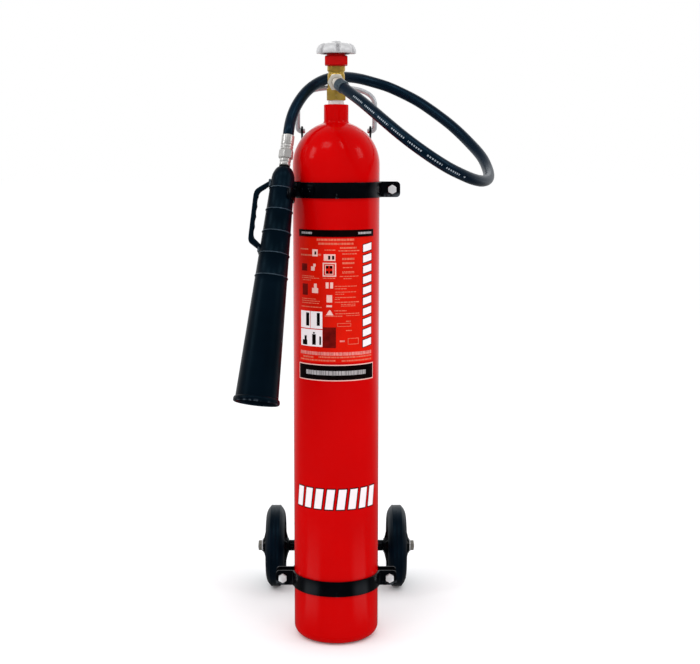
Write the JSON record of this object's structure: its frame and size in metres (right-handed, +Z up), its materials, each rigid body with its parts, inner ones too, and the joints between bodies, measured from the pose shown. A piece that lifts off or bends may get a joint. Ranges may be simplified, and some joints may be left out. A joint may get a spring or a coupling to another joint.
{
  "type": "wheeled fire extinguisher",
  "caption": "Wheeled carbon dioxide extinguisher: steel cylinder with a handwheel valve, hose, discharge horn with grip, carry bail and a two-wheel trolley clamped to its foot.",
  "frame": {"origin": "on the floor, at the middle of the footprint of everything but the free hose and its ferrules", "axes": "+Z up along the cylinder, -Y towards the front with the horn, +X to the right seen from the front"},
  "size_m": [0.408, 0.5098, 0.9772],
  "materials": {
    "red_paint": "high-gloss signal red enamel",
    "black_paint": "semi-gloss black enamel",
    "horn_plastic": "satin black moulded plastic with a blue sheen",
    "hose_rubber": "smooth black rubber hose cover",
    "tyre_rubber": "solid black rubber",
    "hub_plastic": "matte black moulded plastic",
    "brass": "turned and forged brass",
    "cast_aluminium": "tumbled cast aluminium",
    "steel_rod": "bright drawn rod",
    "zinc_steel": "zinc-plated steel",
    "ptfe": "white PTFE",
    "nylon": "natural nylon"
  },
  "bodies": {
    "cylinder_and_trolley": {"cylinder_shell": "red_paint", "gland_nut": "red_paint", "upper_clamp_front": "black_paint", "upper_clamp_rear": "black_paint", "lower_clamp_front": "black_paint", "trolley_frame": "black_paint", "axle_tube": "black_paint", "horn_clip": "black_paint", "horn_clip_rivet_outer": "black_paint", "horn_clip_rivet_inner": "black_paint", "valve_end_ferrule": "black_paint", "hose": "hose_rubber", "valve_body": "brass", "safety_plug": "brass", "axle_rod": "steel_rod", "siphon_tube": "zinc_steel", "burst_disc": "zinc_steel", "hose_elbow": "zinc_steel", "outlet_union_nut": "zinc_steel", "horn_swivel_nut": "zinc_steel", "horn_end_ferrule": "zinc_steel", "upper_clamp_bolt_left": "zinc_steel", "upper_clamp_bolt_right": "zinc_steel", "upper_clamp_nut_left": "zinc_steel", "upper_clamp_nut_right": "zinc_steel", "lower_clamp_bolt_left": "zinc_steel", "lower_clamp_bolt_right": "zinc_steel", "lower_clamp_nut_left": "zinc_steel", "lower_clamp_nut_right": "zinc_steel", "wheel_washer_left": "zinc_steel", "wheel_washer_right": "zinc_steel", "axle_nut_left": "zinc_steel", "axle_nut_right": "zinc_steel", "neck_thread_tape": "ptfe", "gland_packing": "ptfe"},
    "handwheel_and_spindle": {"handwheel": "cast_aluminium", "handwheel_nut": "zinc_steel", "spindle": "zinc_steel"},
    "valve_plug": {"valve_plug": "brass", "valve_plug_seal": "ptfe"},
    "bail": {"carry_bail": "steel_rod"},
    "horn": {"discharge_horn": "horn_plastic", "horn_handle": "horn_plastic", "horn_handle_screw_upper": "zinc_steel", "horn_handle_screw_lower": "zinc_steel", "horn_seal_ring": "hose_rubber", "horn_adapter": "zinc_steel"},
    "left_wheel": {"wheel_hub_left": "hub_plastic", "tyre_left": "tyre_rubber", "wheel_bush_left": "nylon"},
    "right_wheel": {"wheel_hub_right": "hub_plastic", "tyre_right": "tyre_rubber", "wheel_bush_right": "nylon"}
  },
  "joints": [
    {"name": "handwheel_turn", "type": "hinge", "parent": "cylinder_and_trolley", "child": "handwheel_and_spindle", "pos_m": [0.00588, -0.06106, 0.965], "axis": [0, 0, 1], "range_deg": [0, 720]},
    {"name": "valve_plug_lift", "type": "slide", "parent": "cylinder_and_trolley", "child": "valve_plug", "axis": [0, 0, 1], "range_m": [0, 0.0041]},
    {"name": "bail_fold", "type": "hinge", "parent": "cylinder_and_trolley", "child": "bail", "pos_m": [0.00588, -0.00806, 0.837], "axis": [-1, 0, 0], "range_deg": [0, 150]},
    {"name": "horn_swivel", "type": "hinge", "parent": "cylinder_and_trolley", "child": "horn", "pos_m": [-0.07562, -0.10606, 0.779], "axis": [0.1077, 0.3072, 0.9455], "range_deg": [-20, 80]},
    {"name": "left_wheel_spin", "type": "hinge", "parent": "cylinder_and_trolley", "child": "left_wheel", "pos_m": [-0.10612, 0.17994, 0.075], "axis": [1, 0, 0], "continuous": true},
    {"name": "right_wheel_spin", "type": "hinge", "parent": "cylinder_and_trolley", "child": "right_wheel", "pos_m": [0.11788, 0.17994, 0.075], "axis": [1, 0, 0], "continuous": true}
  ],
  "couplings": [
    {"joint": "valve_plug_lift", "follows": "handwheel_turn", "m_per_rad": 0.0003183}
  ]
}
